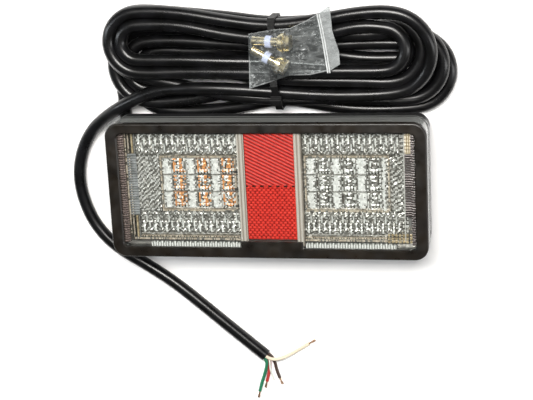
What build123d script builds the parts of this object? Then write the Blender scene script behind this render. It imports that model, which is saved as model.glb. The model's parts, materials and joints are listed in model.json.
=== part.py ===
from build123d import *
import os
from math import atan2, cos, degrees, pi, radians, sin, tan

# Trailer tail light, millimetres. The lamp lies on its mounting face, z = 0, with the lens up (+Z).
# X runs along the lamp, +Y towards the edge beside which its coiled cable lies.
# The origin is the middle of the mounting face.

# ---- the lamp's outside -------------------------------------------------------------------
LENGTH = 185.0
HEIGHT = 80.0
FACE_Z = 42.0            # front of the black frame
CORNER = 8.0
WINDOW_LENGTH = 171.0
WINDOW_HEIGHT = 68.0
FRAME_FACE = 1.7         # thickness of the black frame over the lens
FRAME_SKIRT = 3.5        # how far the frame wraps down the side
FRAME_WALL = 1.6
TAB_LENGTH = 36.0        # the frame is wider below the reflector
TAB_HEIGHT = 4.0

# ---- levels, from the mounting face up ----------------------------------------------------
PAD_TOP = 1.5            # foam pad on the boss
BACK_Z = 12.0            # back wall of the tray
RIM_Z = 22.2             # front rim of the rear housing
SEAL_TOP = 23.0
FLANGE_TOP = 25.0        # weld flange of the lens
LENS_SHOULDER = FACE_Z - FRAME_SKIRT
LENS_FACE = FACE_Z - FRAME_FACE
TRAY_FLOOR = 2.4
TRAY_WALL = 2.4
BOARD_Z = 18.0
BOARD_TOP = BOARD_Z + 1.6
OPTIC_Z = 30.8           # plate that carries the optics
OPTIC_TOP = 32.0
PANEL_TOP = 35.8         # top of the clear blocks over the lamps

# ---- boss, inserts and board --------------------------------------------------------------
BOSS_LENGTH = 90.0
BOSS_HEIGHT = 40.0
BOSS_WALL = 2.2
BOSS_FLOOR = 2.0
INSERT_X = 32.0          # half the distance between the two M5 inserts
INSERT_R = 3.5
INSERT_LENGTH = 10.0
THREAD_R = 2.1           # M5 tapping radius
PILLAR_R = 6.0
BOARD_LENGTH = 175.0
BOARD_HEIGHT = 69.0
POST_X = 80.0
POST_Y = 30.0

# ---- optics -------------------------------------------------------------------------------
REFLECTOR_X = 2.6        # middle of the red reflector
REFLECTOR_WIDTH = 28.8
REFLECTOR_LOW_Y = -29.5
REFLECTOR_HIGH_Y = 34.5
REFLECTOR_TOP = 38.2
RAIL_WIDTH = 4.2
FLUTE_WIDTH = 3.6
GRID_PITCH_X = 14.4
GRID_PITCH_Y = 10.6
LEFT_GRID = (-39.9, 4.6)   # middle of the amber group's blocks
RIGHT_GRID = (44.6, 4.6)   # middle of the tail and brake group's blocks
AMBER_SHIFT = 4.7          # the amber lamps stand off the middle of their blocks

# ---- the cable ----------------------------------------------------------------------------
CABLE_D = 7.5
CABLE_R = CABLE_D / 2
OUTLET_X = -BOSS_LENGTH / 2
OUTLET_Y = -11.0
OUTLET_Z = 6.2
CORE_R = 1.0

# Lead from the lamp to the hank, and tail from the hank to the bare ends.
LEAD_ROUTE = [
    (-42, -11, 6.2), (-56, -11, 6.2), (-70, -7.5, 5.0), (-80.5, 1.5, 3.9),
    (-86.6, 13.5, 3.75), (-89.4, 27, 3.75), (-90.2, 41, 3.75), (-90.6, 55, 3.75),
]
TAIL_ROUTE = [
    (-60, 55.3, 19), (-74, 52, 19.2), (-88.5, 44.5, 17.8), (-101, 36.5, 11),
    (-112, 27, 5), (-119.5, 14, 3.75), (-123, -2, 3.75), (-120.5, -19, 3.75),
    (-113.5, -35, 3.75), (-101, -48, 3.75), (-83, -58.5, 3.75), (-64, -71.5, 3.75),
    (-40, -92.5, 3.75), (-12.5, -116, 3.75),
]

# ---- the hank, in two layers of loops, each an outline between two round ends --------------
# left end: middle x, y, radius; waist: low y, high y; right end: middle x, y, radius
TIE_X = 6.0
LOWER_HANK = dict(left=(-71.5, 64.5, 23.2), waist=(43.5, 85.0), right=(82.0, 63.0, 23.2), z=(0.0, 15.0))
UPPER_HANK = dict(left=(-74.0, 82.0, 22.6), waist=(49.0, 96.0), right=(72.5, 76.0, 25.0), z=(15.0, 30.0))
TIE_WIDTH = 4.0
TIE_THICKNESS = 1.2

# ---- the bag of fixings on the hank --------------------------------------------------------
BAG_Z = 31.4
BAG_FILM = 0.6
BOLT_SHANK = 18.0
BOLT_R = 2.5
FLANGE_R = 5.5
# tip and underside of the head of each bolt
BOLTS = [((-4.4, 86.0, 35.2), (13.4, 85.0, 37.6)), ((-4.4, 81.0, 35.2), (11.0, 72.8, 37.6))]


def slab(length, height, low, high, corner, x=0.0, y=0.0):
    """Upright plate with rounded corners between two levels."""
    return Pos(x, y, low) * extrude(RectangleRounded(length, height, corner), amount=high - low)


def box(low, high):
    """Box from its lowest and highest corners."""
    size = [b - a for a, b in zip(low, high)]
    return Pos(*low) * Box(*size, align=(Align.MIN, Align.MIN, Align.MIN))


def post(x, y, low, high, radius):
    """Upright cylinder."""
    return Pos(x, y, low) * Cylinder(radius, high - low, align=(Align.CENTER, Align.CENTER, Align.MIN))


def group(solids):
    """Several separate solids of one node."""
    return Compound(children=[solid.solid() if hasattr(solid, "solid") else solid for solid in solids])


# ---- housing, lens and frame ---------------------------------------------------------------
def rear_housing():
    tray = slab(LENGTH - 1.6, HEIGHT - 1.6, BACK_Z, RIM_Z, CORNER - 0.8)
    tray = fillet(tray.edges().group_by(Axis.Z)[0], 1.4)
    tray -= slab(
        LENGTH - 1.6 - 2 * TRAY_WALL, HEIGHT - 1.6 - 2 * TRAY_WALL, BACK_Z + TRAY_FLOOR, RIM_Z, CORNER - 3.2
    )
    boss = slab(BOSS_LENGTH, BOSS_HEIGHT, PAD_TOP, BACK_Z + 0.5, 4.0)
    cavity = slab(
        BOSS_LENGTH - 2 * BOSS_WALL, BOSS_HEIGHT - 2 * BOSS_WALL, PAD_TOP + BOSS_FLOOR, BACK_Z + TRAY_FLOOR, 2.0
    )
    body = tray + boss - cavity
    for side in (-1, 1):
        body += post(side * INSERT_X, 0, PAD_TOP, BACK_Z + TRAY_FLOOR, PILLAR_R)
        body -= post(side * INSERT_X, 0, PAD_TOP, PAD_TOP + INSERT_LENGTH, INSERT_R)
    for x in (-POST_X, POST_X):
        for y in (-POST_Y, POST_Y):
            body += post(x, y, BACK_Z + 0.5, BOARD_Z, 3.2)
            body -= post(x, y, BOARD_Z - 4.0, BOARD_Z, 1.2)
    outlet = Pos(OUTLET_X, OUTLET_Y, OUTLET_Z) * Rot(0, 90, 0) * Cylinder(4.6, 4 * BOSS_WALL)
    for x in range(-78, 79, 12):
        if abs(x) > BOSS_LENGTH / 2 + 4:
            body += box((x - 0.6, -33, BACK_Z - 1.0), (x + 0.6, 33, BACK_Z + 0.5))
    return body - outlet


def mounting_pad():
    pad = slab(BOSS_LENGTH, BOSS_HEIGHT, 0, PAD_TOP, 4.0)
    for side in (-1, 1):
        pad -= post(side * INSERT_X, 0, 0, PAD_TOP, INSERT_R + 0.6)
    return pad


def threaded_inserts():
    inserts = []
    for side in (-1, 1):
        sleeve = post(side * INSERT_X, 0, PAD_TOP, PAD_TOP + INSERT_LENGTH, INSERT_R)
        sleeve -= post(side * INSERT_X, 0, PAD_TOP, PAD_TOP + INSERT_LENGTH - 1.0, THREAD_R)
        inserts.append(sleeve)
    return group(inserts)


def lens_seal():
    return slab(LENGTH - 2, HEIGHT - 2, RIM_Z, SEAL_TOP, CORNER - 1.0) - slab(
        LENGTH - 6, HEIGHT - 6, RIM_Z, SEAL_TOP, CORNER - 3.0
    )


def lens_cover():
    flange = slab(LENGTH - 0.4, HEIGHT - 0.4, SEAL_TOP, FLANGE_TOP, CORNER - 0.2)
    wall = slab(LENGTH - 1.2, HEIGHT - 1.2, FLANGE_TOP, LENS_SHOULDER, CORNER - 0.6)
    face = slab(
        LENGTH - 2 * FRAME_WALL - 0.4, HEIGHT - 2 * FRAME_WALL - 0.4, LENS_SHOULDER, LENS_FACE, CORNER - 1.8
    )
    hollow = slab(LENGTH - 5.2, HEIGHT - 5.2, SEAL_TOP, LENS_FACE - 1.8, CORNER - 2.6)
    return flange + wall + face - hollow


def front_bezel():
    frame = slab(LENGTH, HEIGHT, LENS_SHOULDER, FACE_Z, CORNER)
    frame = fillet(frame.edges().group_by(Axis.Z)[-1], 1.1)
    frame -= slab(LENGTH - 2 * FRAME_WALL, HEIGHT - 2 * FRAME_WALL, LENS_SHOULDER, LENS_FACE, CORNER - 1.6)
    window = slab(WINDOW_LENGTH, WINDOW_HEIGHT, LENS_FACE, FACE_Z, 3.0)
    window -= box(
        (REFLECTOR_X - TAB_LENGTH / 2, -WINDOW_HEIGHT / 2, LENS_FACE),
        (REFLECTOR_X + TAB_LENGTH / 2, -WINDOW_HEIGHT / 2 + TAB_HEIGHT, FACE_Z),
    )
    frame -= window
    inner = frame.edges().group_by(Axis.Z)[-1].filter_by(
        lambda edge: abs(edge.center().X) < WINDOW_LENGTH / 2 + 0.1
        and abs(edge.center().Y) < WINDOW_HEIGHT / 2 + 0.1
    )
    return chamfer(inner, 0.7)


# ---- board and lamps -----------------------------------------------------------------------
def circuit_board():
    board = slab(BOARD_LENGTH, BOARD_HEIGHT, BOARD_Z, BOARD_TOP, 5.0)
    for x in (-POST_X, POST_X):
        for y in (-POST_Y, POST_Y):
            board -= post(x, y, BOARD_Z, BOARD_TOP, 1.5)
    return board


def board_screws():
    screws = []
    for x in (-POST_X, POST_X):
        for y in (-POST_Y, POST_Y):
            head = fillet(post(x, y, BOARD_TOP, BOARD_TOP + 1.6, 2.6).edges().group_by(Axis.Z)[-1], 0.7)
            screws.append(head + post(x, y, BOARD_Z - 3.6, BOARD_TOP, 1.15))
    return group(screws)


def led(x, y, size):
    """Square surface-mount lamp with a low round dome."""
    body = box((x - size / 2, y - size / 2, BOARD_TOP), (x + size / 2, y + size / 2, BOARD_TOP + 1.0))
    return body + post(x, y, BOARD_TOP + 1.0, BOARD_TOP + 1.6, size * 0.36)


def led_grid(middle):
    places = [(i, j) for j in (-1, 0, 1) for i in (-1, 0, 1)]
    return group([led(middle[0] + i * GRID_PITCH_X, middle[1] + j * GRID_PITCH_Y, 5.0) for i, j in places])


def position_leds():
    row_x = [-70, -56, -42, -28, 28, 42, 56, 70]
    ends = [(side * 78.5, y) for side in (-1, 1) for y in (-6, 10)]
    places = [(x, y) for y in (-19, 30) for x in row_x] + ends
    return group([led(x, y, 3.5) for x, y in places])


def licence_leds():
    return group([led(x, -31, 3.0) for x in (-60, -35, 35, 60)])


def resistors():
    places = [(x, -25.5) for x in (-63, -49, -35, -21, 35, 49, 63)]
    return group([box((x - 1.6, y - 0.8, BOARD_TOP), (x + 1.6, y + 0.8, BOARD_TOP + 0.7)) for x, y in places])


def driver_chips():
    return group([box((x - 2.5, -24, BOARD_TOP), (x + 2.5, -18, BOARD_TOP + 1.6)) for x in (-6, 8)])


# ---- optics --------------------------------------------------------------------------------
REFLECTOR_LEFT = REFLECTOR_X - REFLECTOR_WIDTH / 2
REFLECTOR_RIGHT = REFLECTOR_X + REFLECTOR_WIDTH / 2
PANEL_LOW_Y = -27.6
PANEL_HIGH_Y = 34.4
PANEL_END = 80.5
TRAY_RIM = 37.4


def optic_frame():
    """Metallised tray that carries both optics and the reflector's seat."""
    tray = slab(177, 72, OPTIC_Z, TRAY_RIM, 4.5) - slab(174.6, 69.6, OPTIC_TOP, TRAY_RIM, 3.3)
    for x_low, x_high in ((-78, -16), (25, 78)):
        tray -= box((x_low, -26, OPTIC_Z), (x_high, 32, OPTIC_TOP))
    seat = box((REFLECTOR_LEFT, REFLECTOR_LOW_Y, OPTIC_Z), (REFLECTOR_RIGHT, REFLECTOR_HIGH_Y - 0.5, 35.0))
    seat -= box(
        (REFLECTOR_LEFT + 1.5, REFLECTOR_LOW_Y + 1.5, OPTIC_Z), (REFLECTOR_RIGHT - 1.5, REFLECTOR_HIGH_Y - 2, 33.6)
    )
    return tray + seat


def optic(x_low, x_high, middle):
    """Clear inner lens: a plate with a raised three-by-three block over each group of lamps."""
    plate = box((x_low, PANEL_LOW_Y, OPTIC_TOP), (x_high, PANEL_HIGH_Y, PANEL_TOP - 1.2))
    for i in (-1, 0, 1):
        for j in (-1, 0, 1):
            x = middle[0] + i * GRID_PITCH_X
            y = middle[1] + j * GRID_PITCH_Y
            plate += box((x - 6.4, y - 4.7, PANEL_TOP - 1.2), (x + 6.4, y + 4.7, PANEL_TOP))
    return plate


def left_optic():
    return optic(-PANEL_END, REFLECTOR_LEFT - RAIL_WIDTH - 0.2, LEFT_GRID)


def right_optic():
    return optic(REFLECTOR_RIGHT + RAIL_WIDTH + 0.2, PANEL_END, RIGHT_GRID)


def red_reflector():
    plate = box(
        (REFLECTOR_LEFT, REFLECTOR_LOW_Y, 35.0), (REFLECTOR_RIGHT, REFLECTOR_HIGH_Y - 0.5, REFLECTOR_TOP)
    )
    return chamfer(plate.edges().group_by(Axis.Z)[-1], 0.4)


def rail(x_low):
    return box((x_low, -33.5, OPTIC_TOP), (x_low + RAIL_WIDTH, 34.0, REFLECTOR_TOP))


def end_flute(side):
    """Fluted clear strip at the end of the window."""
    x_low = side * (WINDOW_LENGTH / 2 + 1.0) - (FLUTE_WIDTH if side > 0 else 0.0)
    strip = box((x_low, -32.5, OPTIC_TOP), (x_low + FLUTE_WIDTH, 33.0, REFLECTOR_TOP - 1.0))
    for k in range(22):
        strip += post(x_low + FLUTE_WIDTH / 2, -31 + k * 3.0, REFLECTOR_TOP - 1.4, REFLECTOR_TOP, 1.2)
    return strip


def licence_diffuser(x_low, x_high):
    """White ribbed strip along the bottom wall, which lights the number plate."""
    strip = box((x_low, -34.6, OPTIC_TOP), (x_high, -32.4, REFLECTOR_TOP - 0.6))
    rib_pitch = 2.5
    for k in range(int((x_high - x_low - 1.0) / rib_pitch)):
        strip += box(
            (x_low + 0.6 + k * rib_pitch, -32.4, OPTIC_TOP), (x_low + 1.8 + k * rib_pitch, -31.6, REFLECTOR_TOP - 1.0)
        )
    return strip


# ---- cable entry ---------------------------------------------------------------------------
def cable_grommet(lead):
    """Rubber strain relief: inner flange, neck in the boss wall, outer collar and taper."""
    outline = [
        (-3.0, 0), (-3.0, 4.9), (-BOSS_WALL, 4.9), (-BOSS_WALL, 4.6), (0, 4.6), (0, 5.7), (2, 5.7), (2, 5.3),
        (12, 4.5), (12, 0),
    ]
    sleeve = revolve(make_face(Polyline(*outline, close=True)), Axis.X, 360)
    sleeve = Pos(OUTLET_X, OUTLET_Y, OUTLET_Z) * Rot(0, 0, 180) * sleeve
    flat = box((OUTLET_X + BOSS_WALL, -25, 0), (OUTLET_X + 2 * BOSS_WALL, 0, PAD_TOP + BOSS_FLOOR))
    return sleeve - flat - lead


def inner_cores():
    """Five insulated cores from the sheath's inner end up to the board."""
    cores = []
    for k in range(5):
        y = OUTLET_Y - 2.4 + 1.2 * k
        level = OUTLET_Z + (1.1 if k % 2 else -1.1)
        start = Vector(*LEAD_ROUTE[0]).X
        path = FilletPolyline((start, y, level), (-20.0, y, level), (-20.0, y, BOARD_Z), radius=[3.0])
        cores.append(sweep(Plane(origin=path @ 0, z_dir=path % 0) * Circle(0.55), path=path))
    return group(cores)


# ---- free cable ----------------------------------------------------------------------------
def route_radii(points):
    """Largest arc that both runs at each corner allow."""
    radii = []
    for before, here, after in zip(points, points[1:], points[2:]):
        run_in = Vector(*here) - Vector(*before)
        run_out = Vector(*after) - Vector(*here)
        shorter = min(run_in.length, run_out.length)
        turn = run_in.get_angle(run_out)
        radii.append(0.45 * shorter / tan(radians(turn / 2)))
    return radii


def tube(name, points, radius):
    """Round tube along straight runs joined by tangent arcs; prints its radii and a volume check."""
    radii = route_radii(points)
    path = FilletPolyline(*points, radius=radii)
    solid = sweep(Plane(origin=path @ 0, z_dir=path % 0) * Circle(radius), path=path)
    ideal = pi * radius**2 * path.length
    print(f"{name}: length {path.length:.1f}, least radius {min(radii):.1f} = {min(radii) / radius / 2:.1f} d,", end=" ")
    print(f"volume / (section x length) {solid.volume / ideal:.4f}, radii", [round(r) for r in radii])
    return solid


def cable_lead():
    return tube("cable_lead", LEAD_ROUTE, CABLE_R)


def cable_tail():
    return tube("cable_tail", TAIL_ROUTE, CABLE_R)


def hank_layer(left, waist, right, z):
    """Dog-bone prism: two round ends and a waist where the tie pulls the loops together."""
    lx, ly, lr = left
    rx, ry, rr = right
    low, high = waist
    flat = 4.0
    outline = [
        ThreePointArc((lx, ly - lr), (lx - lr, ly), (lx, ly + lr)),
        Polyline((lx, ly + lr), (TIE_X - flat, high), (TIE_X + flat, high), (rx, ry + rr)),
        ThreePointArc((rx, ry + rr), (rx + rr, ry), (rx, ry - rr)),
        Polyline((rx, ry - rr), (TIE_X + flat, low), (TIE_X - flat, low), (lx, ly - lr)),
    ]
    return Pos(0, 0, z[0]) * extrude(make_face(Curve() + outline), amount=z[1] - z[0])


# Section of the hank inside the tie, in Y and Z.
TIE_SECTION = [(43.2, 1.3), (85.2, 1.3), (96.4, 14.0), (96.4, 30.1), (59.0, 30.1), (43.2, 16.5)]


def tie_slab(half_width, grow):
    """Slice of the tie's section across the hank, grown outwards by grow."""
    face = make_face(Polyline(*TIE_SECTION, close=True))
    if grow:
        face = offset(face, amount=grow, kind=Kind.ARC)
    upright = Plane(origin=(TIE_X - half_width, 0, 0), x_dir=(0, 1, 0), z_dir=(1, 0, 0))
    return upright * extrude(face, amount=2 * half_width)


def cable_hank(tail):
    lower = hank_layer(**LOWER_HANK)
    upper = hank_layer(**UPPER_HANK)
    upper -= box((-110, 40, 15), (-60, 59.3, 30))
    band = box((TIE_X - 3.4, 30, -1), (TIE_X + 3.4, 110, 32))
    return lower + upper - (band - tie_slab(4.0, 0)) - tail


def cable_tie():
    return tie_slab(TIE_WIDTH / 2, TIE_THICKNESS) - tie_slab(TIE_WIDTH / 2, 0)


def tie_head():
    """Ratchet head on the sloping side of the bundle."""
    slope = degrees(atan2(30.1 - 16.5, 59.0 - 43.2))
    turn = Rot(slope, 0, 0)
    head = turn * box((-3.2, -2.6, 0), (3.2, 2.6, 3.6))
    head = fillet(head.edges().filter_by(Axis.X), 0.5)
    normal = (-sin(radians(slope)), cos(radians(slope)))
    lift = TIE_THICKNESS + 0.02
    return Pos(TIE_X, 51.1 + normal[0] * lift, 23.3 + normal[1] * lift) * head


# ---- the five bare cores at the cable's end -------------------------------------------------
CORE_ROUTES = {
    "core_white": [
        (-12.3, -115.8, 5.5), (-10.0, -117.7, 5.4), (-4.8, -118.4, 4.2), (1.2, -116.4, 2.4), (7.6, -112.8, 1.1),
        (14.4, -108.6, 1.0),
    ],
    "core_green": [
        (-13.6, -117.3, 3.95), (-11.9, -119.6, 3.7), (-13.0, -125.2, 2.2), (-14.8, -130.8, 1.0),
        (-16.8, -136.2, 1.0), (-18.0, -141.2, 1.0),
    ],
    "core_red": [
        (-12.8, -116.3, 2.05), (-10.9, -118.4, 1.6), (-10.9, -123.9, 1.0), (-11.8, -129.4, 1.0),
        (-13.2, -134.4, 1.0),
    ],
    "core_brown": [
        (-11.5, -114.8, 3.15), (-8.9, -116.8, 2.6), (-7.4, -122.2, 1.0), (-6.6, -127.2, 1.0),
        (-5.0, -131.8, 1.0),
    ],
    "core_pale": [
        (-12.5, -116.0, 3.75), (-10.4, -117.8, 3.9), (-10.3, -121.7, 3.6), (-10.5, -125.8, 2.7),
        (-9.5, -130.2, 1.3), (-8.8, -133.6, 0.5),
    ],
}
PALE_CORE_R = 0.5


def core_end(route):
    """Bare twisted copper beyond the insulation, in line with the last run."""
    last = Vector(*route[-1])
    along = (last - Vector(*route[-2])).normalized()
    return Plane(origin=last, z_dir=along) * Cylinder(0.6, 5.0, align=(Align.CENTER, Align.CENTER, Align.MIN))


# ---- bag of fixings ------------------------------------------------------------------------
BAG_OUTLINE = [
    (-7.0, 89.0), (-8.0, 58.0), (2.0, 60.6), (15.0, 65.0), (27.0, 65.2), (36.5, 67.2), (33.2, 99.8),
    (26.0, 96.2), (17.0, 92.0), (7.0, 91.2),
]
ZIP_OUTLINE = [(36.6, 67.2), (43.2, 71.8), (43.0, 80.4), (39.6, 90.6), (40.0, 104.2), (33.3, 99.8)]
BAG_SIDE = [(-10, BAG_Z), (45, BAG_Z), (45, 34.0), (34, 34.4), (19, 44.0), (2.5, 44.0), (-10, 38.8)]


def bag_block(shrink):
    """Pillow-shaped block of the filled bag, or its cavity when shrunk."""
    outline = make_face(Polyline(*BAG_OUTLINE, close=True))
    side = make_face(Polyline(*BAG_SIDE, close=True))
    if shrink:
        outline = offset(outline, amount=-shrink, kind=Kind.INTERSECTION)
        side = offset(side, amount=-shrink, kind=Kind.INTERSECTION)
    upright = Plane(origin=(0, 110, 0), x_dir=(1, 0, 0), z_dir=(0, -1, 0))
    return (Pos(0, 0, 25) * extrude(outline, amount=25)) & (upright * extrude(side, amount=60))


def hardware_bag():
    return bag_block(0) - bag_block(BAG_FILM)


def bag_zip():
    return Pos(0, 0, BAG_Z) * extrude(make_face(Polyline(*ZIP_OUTLINE, close=True)), amount=2.0)


def on_bolt(tip, head, solid, along):
    """Place a solid on a bolt's axis, a distance along it from the underside of the head to the tip."""
    axis = (Vector(*tip) - Vector(*head)).normalized()
    return Plane(origin=Vector(*head) + axis * along, z_dir=axis) * solid


def ring(outer, inner, thickness):
    low = (Align.CENTER, Align.CENTER, Align.MIN)
    return Cylinder(outer, thickness, align=low) - Cylinder(inner, thickness, align=low)


def mounting_bolts():
    low = (Align.CENTER, Align.CENTER, Align.MIN)
    bolts = []
    for tip, head in BOLTS:
        shank = chamfer(Cylinder(BOLT_R, BOLT_SHANK, align=low).edges().group_by(Axis.Z)[-1], 0.5)
        flange = Pos(0, 0, -1.2) * Cylinder(FLANGE_R, 1.2, align=low)
        hexagon = Pos(0, 0, -4.6) * extrude(RegularPolygon(4.0, 6, major_radius=False), amount=3.5)
        bolts.append(on_bolt(tip, head, shank + flange + hexagon, 0))
    return group(bolts)


def washers(outer, thickness, along):
    return group([on_bolt(tip, head, ring(outer, BOLT_R, thickness), along) for tip, head in BOLTS])


def build():
    """Every node of the tail light, by name."""
    tail = cable_tail()
    hank = cable_hank(tail)
    lead = cable_lead() - hank
    nodes = {
        "rear_housing": rear_housing(),
        "mounting_pad": mounting_pad(),
        "threaded_inserts": threaded_inserts(),
        "lens_seal": lens_seal(),
        "lens_cover": lens_cover(),
        "front_bezel": front_bezel(),
        "circuit_board": circuit_board(),
        "board_screws": board_screws(),
        "indicator_leds": led_grid((LEFT_GRID[0] + AMBER_SHIFT, LEFT_GRID[1])),
        "tail_brake_leds": led_grid(RIGHT_GRID),
        "position_leds": position_leds(),
        "licence_leds": licence_leds(),
        "resistors": resistors(),
        "driver_chips": driver_chips(),
        "optic_frame": optic_frame(),
        "left_optic": left_optic(),
        "right_optic": right_optic(),
        "red_reflector": red_reflector(),
        "left_rail": rail(REFLECTOR_LEFT - RAIL_WIDTH),
        "right_rail": rail(REFLECTOR_RIGHT),
        "left_end_flute": end_flute(-1),
        "right_end_flute": end_flute(1),
        "left_licence_diffuser": licence_diffuser(-70, REFLECTOR_LEFT - RAIL_WIDTH - 0.5),
        "right_licence_diffuser": licence_diffuser(REFLECTOR_RIGHT + RAIL_WIDTH + 0.5, 74),
        "cable_grommet": cable_grommet(lead),
        "inner_cores": inner_cores(),
        "cable_lead": lead,
        "cable_hank": hank,
        "cable_tail": tail,
        "cable_tie": cable_tie(),
        "tie_head": tie_head(),
        "hardware_bag": hardware_bag(),
        "bag_zip": bag_zip(),
        "mounting_bolts": mounting_bolts(),
        "flat_washers": washers(5.0, 1.0, 0.0),
        "spring_washers": washers(4.2, 1.2, 1.0),
        "nylon_washers": washers(3.4, 3.4, 6.2),
    }
    for name, route in CORE_ROUTES.items():
        nodes[name] = tube(name, route, PALE_CORE_R if name == "core_pale" else CORE_R) - tail
    stripped = [route for name, route in CORE_ROUTES.items() if name != "core_pale"]
    nodes["core_ends"] = group([core_end(route) for route in stripped])
    return nodes


os.makedirs("parts", exist_ok=True)
for node, shape in build().items():
    export_step(shape, f"parts/{node}.step")
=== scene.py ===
"""Looks of the trailer tail light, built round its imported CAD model. Metres, in the CAD's own frame."""

import json
from math import cos, hypot, pi, radians, sin

import bpy
import numpy as np
from mathutils import Matrix, Vector, noise


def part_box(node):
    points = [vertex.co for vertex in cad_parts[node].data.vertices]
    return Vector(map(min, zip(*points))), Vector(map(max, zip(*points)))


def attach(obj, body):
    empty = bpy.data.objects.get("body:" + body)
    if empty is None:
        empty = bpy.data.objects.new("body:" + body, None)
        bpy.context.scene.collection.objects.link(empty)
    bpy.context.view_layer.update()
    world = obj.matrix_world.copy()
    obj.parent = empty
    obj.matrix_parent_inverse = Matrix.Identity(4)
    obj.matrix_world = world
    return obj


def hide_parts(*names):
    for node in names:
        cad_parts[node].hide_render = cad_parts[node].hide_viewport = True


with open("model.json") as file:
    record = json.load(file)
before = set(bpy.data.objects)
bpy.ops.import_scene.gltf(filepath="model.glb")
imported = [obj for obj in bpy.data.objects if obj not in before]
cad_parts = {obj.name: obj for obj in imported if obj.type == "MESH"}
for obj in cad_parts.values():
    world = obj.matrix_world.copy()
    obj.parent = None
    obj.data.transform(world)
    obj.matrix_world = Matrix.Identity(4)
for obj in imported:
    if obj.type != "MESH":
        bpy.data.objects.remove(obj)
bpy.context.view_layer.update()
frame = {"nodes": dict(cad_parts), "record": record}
NODES = frame["nodes"]
MM = 0.001


# ---- node materials --------------------------------------
class Paint:
    """A material with one Principled shader, and short calls for the nodes that feed it."""

    def __init__(self, name, color, rough, **sockets):
        self.material = bpy.data.materials.new(name)
        self.material.use_nodes = True
        self.tree = self.material.node_tree
        self.shader = self.tree.nodes["Principled BSDF"]
        self.output = self.tree.nodes["Material Output"]
        self.shader.inputs["Base Color"].default_value = (*color, 1)
        self.shader.inputs["Roughness"].default_value = rough
        for socket, value in sockets.items():
            self.shader.inputs[socket.replace("_", " ")].default_value = value
        self.coords = self.tree.nodes.new("ShaderNodeTexCoord")
        self.place = self.coords.outputs["Object"]

    def feed(self, socket, value):
        """Links a socket to another one, or sets it to a plain value."""
        if isinstance(value, bpy.types.NodeSocket):
            self.tree.links.new(value, socket)
        else:
            socket.default_value = value

    def node(self, kind, **inputs):
        made = self.tree.nodes.new("ShaderNode" + kind)
        for key, value in inputs.items():
            self.feed(made.inputs[key.replace("_", " ")], value)
        return made

    def maths(self, operation, *values, clamp=False):
        made = self.tree.nodes.new("ShaderNodeMath")
        made.operation = operation
        made.use_clamp = clamp
        for socket, value in zip(made.inputs, values):
            self.feed(socket, value)
        return made.outputs["Value"]

    def stretched(self, scale):
        """Object coordinates, scaled differently along each axis."""
        mapping = self.node("Mapping", Vector=self.place, Scale=scale)
        return mapping.outputs["Vector"]

    def noise(self, per_metre, detail=3.0, rough=0.5, place=None):
        made = self.node(
            "TexNoise", Vector=place or self.place, Scale=per_metre, Detail=detail, Roughness=rough,
        )
        return made.outputs["Fac"]

    def cells(self, per_metre, output="Distance"):
        return self.node("TexVoronoi", Vector=self.place, Scale=per_metre).outputs[output]

    def waves(self, per_metre, direction="X", distortion=0.0, place=None):
        made = self.node("TexWave", Vector=place or self.place, Scale=per_metre, Distortion=distortion)
        made.bands_direction = direction
        return made.outputs["Fac"]

    def ramp(self, source, *stops):
        """Colour ramp; each stop is (place, grey or colour)."""
        made = self.node("ValToRGB", Fac=source)
        elements = made.color_ramp.elements
        while len(elements) < len(stops):
            elements.new(0.5)
        for element, (position, color) in zip(elements, stops):
            element.position = position
            element.color = (*color, 1) if isinstance(color, tuple) else (color, color, color, 1)
        return made.outputs["Color"]

    def bump(self, source, height, strength=1.0):
        """Feeds the shader's normal; a second call takes the place of the first."""
        made = self.node("Bump", Height=source, Distance=height, Strength=strength)
        self.link("Normal", made.outputs["Normal"])

    def link(self, socket, source):
        self.tree.links.new(source, self.shader.inputs[socket])

    def see_through(self, tint, share):
        """Mixes the shader over a Transparent one; share is how much of the shader shows."""
        clear = self.node("BsdfTransparent", Color=(*tint, 1))
        mix = self.node("MixShader", Fac=share)
        self.tree.links.new(clear.outputs["BSDF"], mix.inputs[1])
        self.tree.links.new(self.shader.outputs["BSDF"], mix.inputs[2])
        self.tree.links.new(mix.outputs["Shader"], self.output.inputs["Surface"])
        return self


def moulded(name, color, rough, grain=0.02, per_metre=2400, **sockets):
    """Moulded plastic or rubber: fine grain, and roughness that wanders a little."""
    paint = Paint(name, color, rough, **sockets)
    wander = paint.ramp(paint.noise(90, 4), (0.3, max(0.05, rough - 0.07)), (0.7, rough + 0.07))
    paint.link("Roughness", wander)
    paint.bump(paint.noise(per_metre, 2), grain * MM)
    return paint


def mottled(name, dark, light, rough, per_metre, height=0.03, **sockets):
    """Two tones in small irregular patches, with bumps of the same grain."""
    paint = Paint(name, light, rough, **sockets)
    patches = paint.noise(per_metre, 4, 0.6)
    paint.link("Base Color", paint.ramp(patches, (0.35, dark), (0.65, light)))
    paint.bump(patches, height * MM)
    return paint


def metal(name, color, rough, scratches=True):
    """Bare or plated metal, a little uneven in tone and gloss, with fine scratches along one way."""
    paint = Paint(name, color, rough, Metallic=1.0)
    paint.link("Roughness", paint.ramp(paint.noise(500, 4), (0.3, rough - 0.08), (0.7, rough + 0.12)))
    tone = tuple(c * 0.72 for c in color)
    paint.link("Base Color", paint.ramp(paint.noise(260, 3), (0.35, tone), (0.65, color)))
    if scratches:
        paint.bump(paint.noise(1, 2, place=paint.stretched((400, 3600, 400))), 0.02 * MM)
    return paint


def prism(name, dark, light, per_metre):
    """Clear moulded facets over a mirrored floor: hard small patches of painted highlight and painted shade
    in the colour.
    """
    paint = Paint(name, light, 0.16, Metallic=0.85)
    value = paint.node("SeparateColor", Color=paint.cells(per_metre, "Color")).outputs["Red"]
    paint.link("Base Color", paint.ramp(value, (0.36, dark), (0.62, light)))
    paint.bump(paint.cells(per_metre * 1.7), 0.12 * MM, 0.8)
    return paint


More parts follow.
